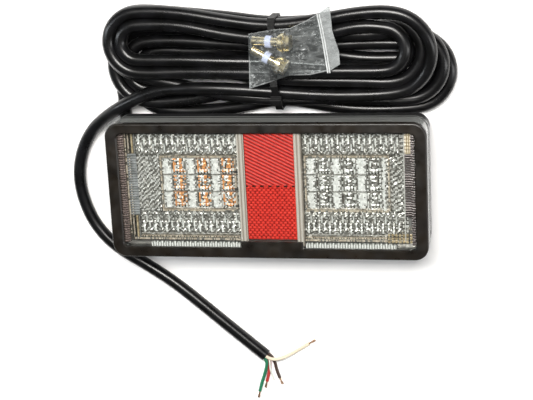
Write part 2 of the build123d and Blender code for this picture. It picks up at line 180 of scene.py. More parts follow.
def clear_cover(name):
    """Clear polycarbonate shell: see-through face on, and milky and mirror-like in its side walls."""
    wall_color = (0.86, 0.9, 0.9)
    face_color = (0.30, 0.31, 0.30)
    paint = Paint(name, wall_color, 0.07)
    edge = paint.node("LayerWeight", Blend=0.32).outputs["Fresnel"]
    upright = paint.node("SeparateXYZ", Vector=paint.coords.outputs["Normal"]).outputs["Z"]
    face = paint.ramp(paint.maths("ABSOLUTE", upright), (0.35, 1.0), (0.8, 0.0))
    paint.link("Metallic", paint.ramp(face, (0.0, 1.0), (0.6, 0.0)))
    paint.link("Base Color", paint.ramp(face, (0.0, wall_color), (0.6, face_color)))
    streaks = paint.noise(1, 2, place=paint.stretched((25, 25, 420)))
    milk = paint.maths("MULTIPLY", face, paint.ramp(streaks, (0.35, 0.5), (0.65, 0.68)))
    paint.bump(paint.noise(60, 2), 0.05 * MM, 0.3)
    share = paint.maths("MULTIPLY_ADD", edge, 0.8, milk, clamp=True)
    return paint.see_through((0.965, 0.975, 0.975), share)


def film(name, haze, crease):
    """Thin clear film: a little milky, and milkier along the streaks where it is pulled and creased."""
    paint = Paint(name, (0.44, 0.46, 0.46), 0.16, Specular_IOR_Level=0.8)
    drawn = paint.noise(1, 4, 0.65, place=paint.stretched((90, 260, 90)))
    crossed = paint.noise(1, 5, 0.7, place=paint.stretched((420, 240, 200)))
    streaks = paint.ramp(drawn, (0.46, 0.0), (0.54, 1.0), (0.62, 0.0))
    specks = paint.ramp(crossed, (0.55, 0.0), (0.66, 1.0))
    marks = paint.maths("MULTIPLY_ADD", streaks, 0.45, specks)
    share = paint.maths("MULTIPLY_ADD", marks, crease, haze, clamp=True)
    paint.bump(paint.noise(520, 3, 0.6), 0.25 * MM, 0.6)
    return paint.see_through((0.9, 0.92, 0.92), share)


def cable_paint(name):
    """Soft black sheath: satin, with faint rubbed patches."""
    paint = Paint(name, (0.003, 0.003, 0.003), 0.28, Specular_IOR_Level=0.40)
    paint.link("Roughness", paint.ramp(paint.noise(45, 4, 0.5), (0.3, 0.25), (0.7, 0.33)))
    paint.link("Base Color", paint.ramp(paint.noise(130, 4), (0.4, 0.002), (0.75, (0.006, 0.006, 0.007))))
    paint.bump(paint.noise(900, 1), 0.006 * MM)
    return paint


def ribbed(name, dark, light):
    """Fine ribs across a narrow strip."""
    paint = Paint(name, light, 0.3, Metallic=0.3)
    ribs = paint.waves(225, "Y", 1.2)
    paint.link("Base Color", paint.ramp(ribs, (0.15, dark), (0.75, light)))
    paint.bump(ribs, 0.15 * MM)
    return paint


def red_paint(name, dark, light):
    """Red acrylic of one height of the reflector's pattern."""
    paint = Paint(name, light, 0.4, Specular_IOR_Level=0.12)
    paint.link("Base Color", paint.ramp(paint.noise(420, 3), (0.3, dark), (0.7, light)))
    paint.bump(paint.noise(900, 2), 0.04 * MM)
    return paint


def make_paints():
    """Every finish, by the CAD material slot or the area of the optics that takes it."""
    black = Paint("frame_black", (0.012, 0.010, 0.008), 0.34, Specular_IOR_Level=0.5)
    black.link("Base Color", black.ramp(
        black.noise(70, 5, 0.6), (0.35, (0.004, 0.003, 0.002)), (0.8, (0.013, 0.009, 0.005))))
    black.link("Roughness", black.ramp(black.noise(160, 4), (0.3, 0.26), (0.7, 0.46)))
    black.bump(black.noise(1800, 2), 0.02 * MM)

    foam = Paint("foam", (0.03, 0.03, 0.03), 0.95)
    foam.bump(foam.cells(1300), 0.25 * MM)

    board = Paint("board_white", (0.62, 0.64, 0.62), 0.35)
    tracks = board.waves(90, "Y", 1.5, place=board.stretched((0.5, 1, 1)))
    board.link("Base Color", board.ramp(tracks, (0.88, (0.62, 0.64, 0.62)), (0.95, (0.45, 0.5, 0.44))))

    # The tie's teeth take the place of its grain.
    tie = moulded("tie_nylon", (0.006, 0.006, 0.006), 0.5, Specular_IOR_Level=0.25)
    tie.bump(tie.waves(420, "Y"), 0.15 * MM)

    diffuser = Paint("white_diffuser", (0.8, 0.8, 0.78), 0.4)
    ribs = diffuser.waves(205, "X", 0.8)
    diffuser.link("Base Color", diffuser.ramp(ribs, (0.1, (0.2, 0.2, 0.18)), (0.55, (0.68, 0.68, 0.65))))
    diffuser.bump(ribs, 0.2 * MM)

    rail = Paint("rail_lines", (0.6, 0.55, 0.48), 0.25, Metallic=0.3)
    lines = rail.waves(150, "X", 0.6)
    rail.link("Base Color", rail.ramp(
        lines, (0.0, (0.3, 0.26, 0.22)), (0.3, (0.5, 0.45, 0.38)), (0.9, (0.62, 0.58, 0.52))))
    rail.bump(lines, 0.2 * MM)

    return {
        "black_abs": moulded("black_abs", (0.016, 0.016, 0.017), 0.48, 0.05),
        "foam_pad": foam,
        "brass": metal("brass", (0.78, 0.6, 0.3), 0.28),
        "seal_rubber": moulded("seal_rubber", (0.018, 0.018, 0.018), 0.6, 0.04, 1800),
        "clear_lens": clear_cover("clear_lens"),
        "black_frame": black,
        "board": board,
        "zinc_steel": metal("zinc_steel", (0.68, 0.69, 0.72), 0.3),
        "amber_led": mottled("amber_led", (0.75, 0.25, 0.06), (0.95, 0.45, 0.16), 0.25, 900, Coat_Weight=0.5),
        "red_led": mottled("red_led", (0.5, 0.45, 0.38), (0.8, 0.76, 0.66), 0.25, 900, Coat_Weight=0.5),
        "clear_led": mottled("clear_led", (0.66, 0.64, 0.5), (0.88, 0.87, 0.8), 0.25, 900, Coat_Weight=0.5),
        "chip": moulded("chip", (0.03, 0.03, 0.03), 0.45),
        "metallised": metal("metallised", (0.40, 0.39, 0.37), 0.42, False),
        "clear_optic": prism("clear_facets", (0.10, 0.10, 0.095), (0.93, 0.93, 0.9), 760),
        # The reflector's face is coloured by depth: lighter red is painted highlight on its ribs, darker red
        # painted shade in its grooves, near-black painted shade in its ticks and also along its left edge.
        "red_reflector": red_paint("red_prisms", (0.40, 0.018, 0.012), (0.56, 0.034, 0.022)),
        "red_light": red_paint("red_rib", (0.58, 0.034, 0.024), (0.68, 0.05, 0.034)),
        "red_dark": red_paint("red_groove", (0.16, 0.006, 0.005), (0.27, 0.012, 0.009)),
        "red_edge": red_paint("red_edge", (0.03, 0.006, 0.004), (0.07, 0.01, 0.007)),
        "white_diffuser": diffuser,
        "seal_white": mottled("seal_white", (0.45, 0.47, 0.47), (0.62, 0.64, 0.64), 0.3, 500),
        "cable_jacket": cable_paint("cable_sheath"),
        "tie_nylon": tie,
        "bag_film": film("bag_film", 0.06, 0.22),
        # Milkier film on the sealed sides, partly real seal and partly painted highlight, and along lines of
        # painted highlight on the creases.
        "bag_crease": film("bag_crease", 0.45, 0.3),
        "zip_film": film("zip_film", 0.42, 0.25),
        "gold_zinc": metal("gold_zinc", (0.72, 0.62, 0.40), 0.3, False),
        "pale_nylon": moulded("pale_nylon", (0.52, 0.56, 0.74), 0.4),
        "core_white": moulded("core_cream", (0.66, 0.58, 0.44), 0.5),
        "core_green": moulded("core_green", (0.018, 0.17, 0.085), 0.42),
        "core_red": moulded("core_red", (0.4, 0.035, 0.03), 0.42),
        "core_brown": moulded("core_brown", (0.05, 0.03, 0.022), 0.4),
        "core_pale": moulded("core_pale", (0.72, 0.76, 0.68), 0.4),
        "copper": metal("copper", (0.86, 0.6, 0.42), 0.3),
        # finishes of the optics' own areas; the first four are painted light in the colour of clear facets:
        # two of painted highlight, one of painted grey sheen and one of painted shade
        "bright": mottled("bright_facets", (0.42, 0.41, 0.38), (0.78, 0.77, 0.72), 0.25, 700, Metallic=0.3),
        "lit": mottled("lit_columns", (0.52, 0.52, 0.49), (0.88, 0.88, 0.84), 0.3, 600, Metallic=0.2),
        "silver": mottled("silver_facets", (0.14, 0.135, 0.12), (0.32, 0.31, 0.28), 0.25, 800, Metallic=0.4),
        "shade": mottled("shaded_facets", (0.04, 0.038, 0.032), (0.14, 0.13, 0.11), 0.25, 800, Metallic=0.3),
        "amber": mottled("amber_facets", (0.42, 0.17, 0.06), (0.78, 0.36, 0.13), 0.3, 800, Metallic=0.2),
        "tan": mottled("tan_line", (0.36, 0.29, 0.21), (0.72, 0.64, 0.52), 0.3, 700, Metallic=0.3),
        # Dark marks by the left rail, and the sheet of painted shade in front of each licence diffuser.
        "dark": moulded("dark_gap", (0.045, 0.043, 0.04), 0.3),
        "ribbed": mottled(
            "ribbed_grey", (0.12, 0.125, 0.12), (0.3, 0.31, 0.31), 0.3, 260, Metallic=0.3),
        "rail": rail,
        "pink_rib": ribbed("pink_ribs", (0.04, 0.028, 0.024), (0.26, 0.2, 0.18)),
        "dark_rib": ribbed("dark_ribs", (0.02, 0.016, 0.014), (0.13, 0.105, 0.1)),
        "gold": mottled("gold_dots", (0.4, 0.3, 0.16), (0.8, 0.66, 0.42), 0.25, 500, Metallic=0.5),
    }


PAINTS = make_paints()


def paint_nodes():
    """Every CAD node takes the finish of its material slot, but for the flutes and rails."""
    for part in frame["record"]["subparts"]:
        node = NODES[part["node"]]
        finish = PAINTS[part["material_slot"]].material
        if not node.material_slots:
            node.data.materials.append(finish)
        for slot in node.material_slots:
            slot.material = finish
    own_finish = {
        "left_end_flute": "pink_rib", "right_end_flute": "dark_rib",
        "left_rail": "rail", "right_rail": "rail",
    }
    for name, finish in own_finish.items():
        NODES[name].material_slots[0].material = PAINTS[finish].material


# ---- pieces ----------------------------------------------
def add_piece(obj, slot, paint=None, replaces=()):
    """Links a new piece, rides it on the lamp, and gives it the finish of paint or else of slot, if it has no
    finish yet.
    """
    bpy.context.scene.collection.objects.link(obj)
    if not obj.data.materials:
        obj.data.materials.append(PAINTS[paint or slot].material)
    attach(obj, "root")
    if replaces:
        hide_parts(*replaces)
    return obj


def smooth_piece(name, points, faces, slot, replaces):
    """Smooth-shaded mesh from points in millimetres."""
    mesh = bpy.data.meshes.new(name)
    mesh.from_pydata([tuple(p) for p in np.array(points) * MM], [], faces)
    mesh.update()
    mesh.shade_smooth()
    return add_piece(bpy.data.objects.new(name, mesh), slot, replaces=replaces)


def spline_curve(name, routes, radius, resolution=8, round_steps=6):
    """Curve object whose splines have these control points, in millimetres, and a round section."""
    curve = bpy.data.curves.new(name, "CURVE")
    curve.dimensions = "3D"
    curve.resolution_u = resolution
    curve.bevel_depth = radius * MM
    curve.bevel_resolution = round_steps
    curve.use_fill_caps = True
    for route in routes:
        spline = curve.splines.new("NURBS")
        spline.points.add(len(route) - 1)
        for point, (x, y, z) in zip(spline.points, route):
            point.co = (x * MM, y * MM, z * MM, 1)
        spline.order_u = 3
        spline.use_endpoint_u = True
    return bpy.data.objects.new(name, curve)


# ---- the cable -------------------------------------------
CABLE_D = 7.5
LEAD_ROUTE = [
    (-57, -11, 6.2), (-70, -7.5, 5.0), (-80.5, 1.5, 3.9), (-86.6, 13.5, 3.75), (-89.4, 27, 3.75),
    (-90.2, 41, 3.75), (-90.6, 55, 3.75),
]
TAIL_ROUTE = [
    (-60, 55.3, 19), (-74, 52, 19.2), (-88.5, 44.5, 17.8), (-101, 36.5, 11), (-112, 27, 5),
    (-119.5, 14, 3.75), (-123, -2, 3.75), (-120.5, -19, 3.75), (-113.5, -35, 3.75), (-101, -48, 3.75),
    (-83, -58.5, 3.75), (-64, -71.5, 3.75), (-40, -92.5, 3.75), (-12.5, -116, 3.75),
]
TIE_X = 6.0
# Neighbouring strands of a layer lie side by side.
PITCH = CABLE_D
ARC_STEP = 30.0
# A spline of this kind runs inside the points of an arc; this puts it back on the radius.
ARC_GROW = 1 / (0.75 + 0.25 * cos(radians(ARC_STEP)))
# Each layer of loops: level; left end's outermost x, top and bottom; waist's top; right end likewise.
LAYERS = [
    (3.75, (-91.0, 82.5, 40.0), 81.5, (103.0, 82.5, 40.5)),
    (11.25, (-92.0, 89.0, 46.0), 86.0, (100.5, 86.0, 47.0)),
    (18.75, (-93.0, 101.0, 63.0), 92.5, (88.0, 93.5, 58.5)),
    (26.2, (-90.0, 101.5, 66.5), 92.0, (88.5, 98.0, 59.0)),
]
# Where the low side of each turn, on its way to the next one, crosses the tie.
LOW_WAIST = [46.6, 52.5, 56.5, 48.0, 60.5, 71.0, 65.5]
# How late each low side turns from its end of the hank towards the tie; the smaller, the sooner.
PINCH = 1.6
LOW_PINCH = [PINCH, PINCH, PINCH, 0.6, PINCH, PINCH, PINCH]
# The lowest layer's inner turn: on the left it comes down to the line of the outer one, which starts only
# half way up there, from the lead; on the right its top lies lower.
LOW_SHIFT = [-7.5, 0.0, 0.0, 0.0]
HIGH_SHIFT = [6.0, 0.0, 0.0, 0.0]
# How far the very first low side sags towards the lamp on each side of the tie.
FIRST_BELLY = 2.8
# How far the tie lifts each layer, and where a long run has its points.
TIE_LIFT = [1.3, 1.0, 0.5, 0.1]
RUN_X = [-48.0, -22.0, TIE_X, 32.0, 54.0]
# Middle x and y and radius of the last half turn, how far it sinks, and its way out to the tail.
LAST_END = (71.0, 75.5, 23.3)
LAST_DROP = -7.0
RUN_OUT = [(45, 50.8, 19.4), (26, 51.4, 19.2), (6, 53.0, 19.6), (-20, 55.4, 21.2), (-42, 56.2, 21.6)]


def ease(t):
    """Smooth step from 0 to 1."""
    t = min(1.0, max(0.0, t))
    return t * t * (3 - 2 * t)


def arc(x, y, radius, start, stop, z, drop=0.0):
    """Control points round the end of a loop, clockwise from above, while z changes by drop."""
    steps = int(abs(stop - start) / ARC_STEP)
    reach = radius * ARC_GROW
    points = []
    for k in range(steps + 1):
        angle = radians(start - k * ARC_STEP)
        points.append((x + reach * cos(angle), y + reach * sin(angle), z + drop * ease(k / steps)))
    return points


def run(ends, waist_y, levels, lift, wobble, belly=0.0, pinch=PINCH):
    """Control points of a long run between two ends through the tie, in the order of travel."""
    (x0, y0), (x1, y1) = ends
    stops = RUN_X if x1 > x0 else RUN_X[::-1]
    points = []
    for k, x in enumerate(stops):
        from_end = (x - x0) / (TIE_X - x0)
        near = from_end if from_end <= 1 else (x1 - x) / (x1 - TIE_X)
        share = ease(near) ** pinch
        end_y = y0 if from_end <= 1 else y1
        y = end_y + (waist_y - end_y) * share + wobble * sin(2.1 * k + x * 0.05) * (1 - share) * 2
        y -= belly * sin(pi * min(1.0, near))
        t = (x - x0) / (x1 - x0)
        z = levels[0] + (levels[1] - levels[0]) * ease(t * 1.4 - 0.2) + lift * share
        points.append((x, y, z))
    return points


def loop_end(end, side, inset, layer):
    """Middle x and y and radius of one end of a turn that lies inset strands inside its layer's outermost."""
    outer_x, top, bottom = end
    shift = inset * PITCH
    top -= shift + inset * (HIGH_SHIFT[layer] if side > 0 else 0)
    bottom += shift + inset * (LOW_SHIFT[layer] if side < 0 else 0)
    radius = (top - bottom) / 2
    return outer_x - side * (radius + shift), (top + bottom) / 2, radius


def loop_route():
    """Two turns in each layer, spiralling in, up, out and up again, then out along the low side."""
    points = []
    turns = [(layer, inset) for layer in range(4) for inset in ((0, 1) if layer % 2 == 0 else (1, 0))]
    for k, (layer, inset) in enumerate(turns):
        z, left, waist, right = LAYERS[layer]
        lift = TIE_LIFT[layer]
        last = k == len(turns) - 1
        # A little play from turn to turn, so that no two lie alike.
        fan = 0.9 * sin(1.7 * k + 0.4)
        lx, ly, lr = loop_end(left, -1, inset, layer)
        rx, ry, rr = LAST_END if last else loop_end(right, 1, inset, layer)
        lx, rx = lx + fan, rx + fan
        points += arc(lx, ly, lr, 180 if k == 0 else 270, 90, z)
        points += run([(lx, ly + lr), (rx, ry + rr)], waist - inset * PITCH, (z, z), lift, fan)
        points += arc(rx, ry, rr, 90, -90, z, LAST_DROP if last else 0.0)
        if not last:
            next_layer, next_inset = turns[k + 1]
            next_z, next_left = LAYERS[next_layer][:2]
            nx, ny, nr = loop_end(next_left, -1, next_inset, next_layer)
            points += run(
                [(rx, ry - rr), (nx, ny - nr)], LOW_WAIST[k], (z, next_z), lift, fan * 0.5,
                FIRST_BELLY if k == 0 else 0.0, LOW_PINCH[k],
            )
    return points + RUN_OUT


def make_cable():
    route = LEAD_ROUTE + loop_route() + TAIL_ROUTE
    cable = spline_curve("cable", [route], CABLE_D / 2, resolution=7, round_steps=6)
    add_piece(cable, "cable_jacket", replaces=("cable_lead", "cable_hank", "cable_tail"))


# ---- the bare cores --------------------------------------
# Each core's radius, and the middle of its wire from inside the cut sheath to the end of its insulation.
CORES = {
    "core_white": (1.0, [
        (-12.3, -115.8, 5.5), (-10.0, -117.7, 5.4), (-4.8, -118.4, 4.2), (1.2, -116.4, 2.4),
        (7.6, -112.8, 1.1), (14.4, -108.6, 1.0)]),
    "core_green": (1.0, [
        (-13.6, -117.3, 3.95), (-11.9, -119.6, 3.7), (-13.0, -125.2, 2.2), (-14.8, -130.8, 1.0),
        (-16.8, -136.2, 1.0), (-18.0, -141.2, 1.0)]),
    "core_red": (1.0, [
        (-12.8, -116.3, 2.05), (-10.9, -118.4, 1.6), (-10.9, -123.9, 1.0), (-11.8, -129.4, 1.0),
        (-13.2, -134.4, 1.0)]),
    "core_brown": (1.0, [
        (-11.5, -114.8, 3.15), (-8.9, -116.8, 2.6), (-7.4, -122.2, 1.0), (-6.6, -127.2, 1.0),
        (-5.0, -131.8, 1.0)]),
    "core_pale": (0.5, [
        (-12.5, -116.0, 3.75), (-10.4, -117.8, 3.9), (-10.3, -121.7, 3.6), (-10.5, -125.8, 2.7),
        (-9.5, -130.2, 1.3), (-8.8, -133.6, 0.5)]),
}
STRANDS = 7
STRAND_R = 0.16
STRAND_POINTS = 6
# Radius of the bundle, how much its strands splay and twist, and its start and length along the core.
BUNDLE_R = 0.42
SPLAY = 0.9
TWIST = 1.6
BARE_START = -0.4
BARE_LENGTH = 4.9


def make_cores():
    for name, (radius, route) in CORES.items():
        core = spline_curve(name + "_wire", [route], radius, resolution=10, round_steps=5)
        add_piece(core, name, replaces=(name,))
    make_strands()


def strand_route(k, tip, along, side, up):
    """Control points of strand k; strand 0 is the middle one and stays straight."""
    points = []
    for step in range(STRAND_POINTS):
        t = step / (STRAND_POINTS - 1)
        spread = (BUNDLE_R if k else 0.0) * (1 + SPLAY * t * t * ((k * 37) % 5) / 4)
        turn = 2 * pi * k / STRANDS + TWIST * t
        offset = side * cos(turn) * spread + up * sin(turn) * spread
        point = tip + along * (BARE_LENGTH * t + BARE_START) + offset
        point.z = max(point.z, STRAND_R + 0.02)
        points.append(tuple(point))
    return points


def make_strands():
    """Twisted copper strands that splay a little past each thick core's insulation."""
    routes = []
    for name, (radius, route) in CORES.items():
        if name != "core_pale":
            tip = Vector(route[-1])
            along = (tip - Vector(route[-2])).normalized()
            side = along.cross(Vector((0, 0, 1))).normalized()
            up = side.cross(along)
            routes += [strand_route(k, tip, along, side, up) for k in range(STRANDS)]
    strands = spline_curve("copper_strands", routes, STRAND_R, resolution=4, round_steps=2)
    add_piece(strands, "copper", replaces=("core_ends",))


# ---- bag of fixings --------------------------------------
FIXINGS = ("mounting_bolts", "flat_washers", "spring_washers", "nylon_washers")
BAG_FLOOR = 31.0
# The bag's two long sides seen from above, from its closed end to its mouth.
BAG_LOW = [(-8.0, 57.6), (2.0, 60.6), (15.0, 65.0), (27.0, 65.2), (36.5, 67.2)]
BAG_HIGH = [(-7.0, 89.0), (7.0, 91.4), (17.0, 92.2), (26.0, 96.2), (33.6, 100.7)]
BAG_STEPS = (110, 84)
BAG_SPAN = (45, 34)
SEAM = 0.7
MOUTH_LIFT = 8.0
# The film's distance from the fixings, the highest that its folds may reach, and how often it settles.
FILM_GAP = 0.35
FILM_CEILING = 43.7
SETTLE_STEPS = 500
# The flap's two edges: at the bag's mouth, and free.
SEAL_NEAR = [(37.0, 66.6), (36.0, 78.0), (34.8, 90.0), (33.6, 100.7)]
SEAL_FAR = [(44.4, 71.4), (44.2, 79.4), (41.4, 91.6), (41.2, 105.9)]
SEAL_STEPS = (14, 60)
SEAL_FLOOR = 31.5
SEAL_THICK = 0.22
RIDGE_GAPS = (0.3, 1.5)
RIDGE_FLOOR = 32.3
RIDGE_R = 0.42


def along_line(line, t):
    """Point at share t of these points, on the straight stretches between them."""
    spots = np.linspace(0, 1, len(line))
    x = np.interp(t, spots, [p[0] for p in line])
    y = np.interp(t, spots, [p[1] for p in line])
    return x, y


def double_sheet(steps):
    """Faces of two grids of points joined round their rim; the upper grid's points come first."""
    nu, nv = steps
    count = (nu + 1) * (nv + 1)

    def at(i, j, lower):
        return lower * count + i * (nv + 1) + j

    faces = []
    for i in range(nu):
        for j in range(nv):
            faces.append((at(i, j, 0), at(i + 1, j, 0), at(i + 1, j + 1, 0), at(i, j + 1, 0)))
            faces.append((at(i, j, 1), at(i, j + 1, 1), at(i + 1, j + 1, 1), at(i + 1, j, 1)))
    for i in range(nu):
        faces.append((at(i, 0, 1), at(i + 1, 0, 1), at(i + 1, 0, 0), at(i, 0, 0)))
        faces.append((at(i, nv, 0), at(i + 1, nv, 0), at(i + 1, nv, 1), at(i, nv, 1)))
    for j in range(nv):
        faces.append((at(0, j, 0), at(0, j + 1, 0), at(0, j + 1, 1), at(0, j, 1)))
        faces.append((at(nu, j, 1), at(nu, j + 1, 1), at(nu, j + 1, 0), at(nu, j, 0)))
    return faces


def fixings_dots():
    """Points closely spaced over every face of the fixings, as an array of x, y, z in millimetres."""
    dots = []
    for name in FIXINGS:
        mesh = NODES[name].data
        mesh.calc_loop_triangles()
        for triangle in mesh.loop_triangles:
            a, b, c = (mesh.vertices[i].co for i in triangle.vertices)
            steps = max(1, int(max((b - a).length, (c - a).length) / (0.5 * MM)))
            for i in range(steps + 1):
                for j in range(steps + 1 - i):
                    dots.append(a + (b - a) * (i / steps) + (c - a) * (j / steps))
    return np.array(dots) / MM


def bag_plan():
    """Shares along and across the bag, and x and y, of each point of its grid."""
    nu, nv = BAG_STEPS
    u, v = np.meshgrid(np.linspace(0, 1, nu + 1), np.linspace(0, 1, nv + 1), indexing="ij")
    lx, ly = along_line(BAG_LOW, u)
    hx, hy = along_line(BAG_HIGH, u)
    return u, v, lx + (hx - lx) * v, ly + (hy - ly) * v


def seam_or_painted_glint(x, y, u, v):
    """Whether a face takes the milkier crease finish: along the sealed sides, which are partly real seal and
    partly painted highlight, and along noise lines of painted highlight that stand in for the glint of its
    creases.
    """
    long, wide = BAG_SPAN
    if min(u * long, v * wide, (1 - v) * wide) < SEAM:
        return True
    spot = Vector((x * 0.16, y * 0.42, 5.2))
    line = abs(noise.noise(spot) + 0.5 * noise.noise(spot * 2.1))
    # More lines of painted highlight in the low corner, where the film is most crumpled.
    lower_corner = (1 - u) * (1 - v) > 0.62
    return line < (0.05 if lower_corner else 0.022) and noise.noise(Vector((x * 0.12, y * 0.12, 9))) > -0.12


def drape(rest, held):
    """Film pulled over what is under it: a free point settles to its neighbours' mean or on its support."""
    z = rest.copy()
    for _ in range(SETTLE_STEPS):
        mean = (z[:-2, 1:-1] + z[2:, 1:-1] + z[1:-1, :-2] + z[1:-1, 2:]) / 4
        z[1:-1, 1:-1] = np.maximum(rest[1:-1, 1:-1], mean - 0.004)
        z = np.where(held, rest, z)
    return z


def crumple(x, y, scale, seed):
    """Ridged noise in 0 to 1 at each point."""
    out = np.empty_like(x)
    for index in np.ndindex(x.shape):
        spot = Vector((x[index] / scale, y[index] / scale, seed))
        out[index] = 1 - abs(noise.noise(spot)) * 2 - 0.5 * abs(noise.noise(spot * 2.3))
    return np.clip(out, 0, 1)


def mouth_lift(u, v):
    """How far the bag's mouth stands up, most at its far corner."""
    return MOUTH_LIFT * u ** 2.2 * v ** 1.4


def bag_film_points():
    """Points of the filled bag's upper film and then of its lower one."""
    u, v, x, y = bag_plan()
    dots = fixings_dots()
    floor = BAG_FLOOR + mouth_lift(u, v)
    rest = floor + 0.5
    for index in np.ndindex(x.shape):
        near = dots[(abs(dots[:, 0] - x[index]) < 0.6) & (abs(dots[:, 1] - y[index]) < 0.6), 2]
        if len(near):
            rest[index] = max(rest[index], near.max() + FILM_GAP)
    edge = (u == 0) | (u == 1) | (v == 0) | (v == 1)
    rest = np.where(edge, floor + 0.35, rest)
    # The folds are full over the filled end and its low corner, and fade to the rim.
    inside = np.sin(pi * np.clip(v, 0, 1)) ** 0.4 * np.clip(u * 12, 0, 1) * np.clip((1 - u) * 8, 0, 1)
    loose = 0.35 + 0.65 * np.clip((0.30 - u) * 5, 0, 1) * np.clip((0.55 - v) * 4, 0, 1)
    folds = crumple(x, y * 0.55, 4.2, 3.1) * 1.5 + crumple(x, y, 1.7, 7.7) * 0.55
    over = np.minimum(drape(rest, edge) + folds * inside * loose, FILM_CEILING)
    under = floor - 0.15 + 0.1 * crumple(x, y, 4.0, 11.0)
    return [(x[i], y[i], z[i]) for z in (over, under) for i in np.ndindex(x.shape)]


def make_bag():
    points = bag_film_points()
    bag = smooth_piece("bag_film", points, double_sheet(BAG_STEPS), "bag_film", replaces=("hardware_bag",))
    bag.data.materials.append(PAINTS["bag_crease"].material)
    nu, nv = BAG_STEPS
    for polygon in bag.data.polygons:
        first = polygon.vertices[0]
        on_top = first < (nu + 1) * (nv + 1)
        x, y = bag.data.vertices[first].co.xy / MM
        if on_top and seam_or_painted_glint(x, y, first // (nv + 1) / nu, first % (nv + 1) / nv):
            polygon.material_index = 1


def make_press_seal():
    """Flap past the bag's mouth, with the two ridges of its press seal."""
    nu, nv = SEAL_STEPS
    upper, lower = [], []
    for i in range(nu + 1):
        for j in range(nv + 1):
            out = i / nu
            ax, ay = along_line(SEAL_NEAR, j / nv)
            bx, by = along_line(SEAL_FAR, j / nv)
            x, y = ax + (bx - ax) * out, ay + (by - ay) * out
            z = SEAL_FLOOR + mouth_lift(1, j / nv) + (0.5 + 1.2 * j / nv) * out
            z += 0.5 * sin(j * 0.22 + 1) * out + 0.25 * noise.noise(Vector((x / 2, y / 2, 4)))
            lower.append((x, y, z))
            upper.append((x, y, z + SEAL_THICK))
    smooth_piece("press_seal", upper + lower, double_sheet(SEAL_STEPS), "zip_film", replaces=("bag_zip",))
    ridges = [
        [(x + gap, y, RIDGE_FLOOR + mouth_lift(1, k / 3)) for k, (x, y) in enumerate(SEAL_NEAR)]
        for gap in RIDGE_GAPS
    ]
    add_piece(spline_curve("seal_ridges", ridges, RIDGE_R, round_steps=3), "zip_film", paint="seal_white")


# ---- optics ----------------------------------------------
SIDES = {-1: "left", 1: "right"}
# Pitch of the lamp blocks across and up, and the middle of each side's three by three.
GRID_PITCH = (14.4, 10.15)
GRID_MIDDLE = {-1: (-39.9, 2.7), 1: (44.6, 2.9)}
# Levels of the blocks' and cells' tops, and of the tray that the optics stand on.
BLOCK_TOP = 35.4
CELL_TOP = 34.0
TRAY = 32.2
FACET = 0.8
BLOCK_FACETS = (9, 11)
CELLS = 9
# Lozenges of painted highlight in a cell: middle across and up, and half width, as shares of the cell.
LOZENGES = ((0.30, 0.72, 0.12), (0.80, 0.60, 0.09), (0.55, 0.34, 0.08))
STROKE_PITCH = 2.7
# Where the right side's last bright column and the left side's dark marks by the rail start and end.
LAST_COLUMN = (66.3, 68.6)
DARK_MARKS = (-19.0, -16.6)
# Lower and upper end of the upright lines at the ends of the window, and of the ribbed wall between them.
LINE_ENDS = (-30.0, 33.0)
WALL_ENDS = (-16.5, 20.5)
# The reflector's pitches: slanting ribs, scales across and up, and ticks between the two fields.
RIB_PITCH = 2.1
SCALE_PITCH = (2.6, 1.5)
TICK_PITCH = 4.6


def box_mm(node):
    """Low and high corner of a CAD node's box, in millimetres."""
    return [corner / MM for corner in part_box(node)]


class Relief:
    """Collects faceted patches of one piece, each facet with its own finish."""

    def __init__(self):
        self.points, self.faces, self.finishes = [], [], []
        self.names = []

    def face(self, corners, finish):
        if finish not in self.names:
            self.names.append(finish)
        self.faces.append(corners)
        self.finishes.append(self.names.index(finish))

    def patch(self, x0, x1, y0, y1, count, finish, height, top, foot):
        """Facets over a rectangle, and walls from its rim down to foot.

        count is how many facets across and up; height and finish take the shares across and up, and
        finish may also be one name.
        """
        nx, ny = count
        row = ny + 1
        start = len(self.points)
        for i in range(nx + 1):
            for j in range(row):
                u, v = i / nx, j / ny
                self.points.append((x0 + (x1 - x0) * u, y0 + (y1 - y0) * v, top + height(u, v)))
        for i in range(nx):
            for j in range(ny):
                a = start + i * row + j
                name = finish if isinstance(finish, str) else finish((i + 0.5) / nx, (j + 0.5) / ny)
                self.face((a, a + row, a + row + 1, a + 1), name)
        rim = [start + i * row for i in range(nx)] + [start + nx * row + j for j in range(ny)]
        rim += [start + i * row + ny for i in range(nx, 0, -1)] + [start + j for j in range(ny, 0, -1)]
        below = len(self.points)
        self.points += [(*self.points[k][:2], foot) for k in rim]
        wall = finish if isinstance(finish, str) else finish(0.5, 0.5)
        for k in range(len(rim)):
            after = (k + 1) % len(rim)
            self.face((rim[k], below + k, below + after, rim[after]), wall)

    def piece(self, name, slot, replaces=()):
        mesh = bpy.data.meshes.new(name)
        mesh.from_pydata([(x * MM, y * MM, z * MM) for x, y, z in self.points], [], self.faces)
        for finish in self.names:
            mesh.materials.append(PAINTS[finish].material)
        mesh.polygons.foreach_set("material_index", self.finishes)
        mesh.update()
        add_piece(bpy.data.objects.new(name, mesh), slot, replaces=replaces)


def saw(t):
    """Triangle wave from 0 to 1 and back with period 1."""
    t = t % 1.0
    return 2 * t if t < 0.5 else 2 - 2 * t


def jitter(a, b):
    """Repeatable number in 0 to 1 for a pair."""
    return (sin(a * 12.9898 + b * 78.233) * 43758.5453) % 1.0


def facets(width, tall, size=FACET):
    """How many facets of about this size fit across and up."""
    return max(1, round(width / size)), max(1, round(tall / size))


def flat(u, v):
    return 0.0


def tilt(u, v):
    """Small uneven height, so that each facet catches the light its own way."""
    return 0.42 * jitter(round(u * 97), round(v * 89))


def tone(share, chance, light, mid):
    """Painted highlight, painted grey sheen or painted shade of a facet: share is the pattern's own
    brightness and chance breaks it up.
    """
    value = share * 0.68 + chance * 0.42
    if value > light:
        return "bright"
    return "silver" if value > mid else "shade"


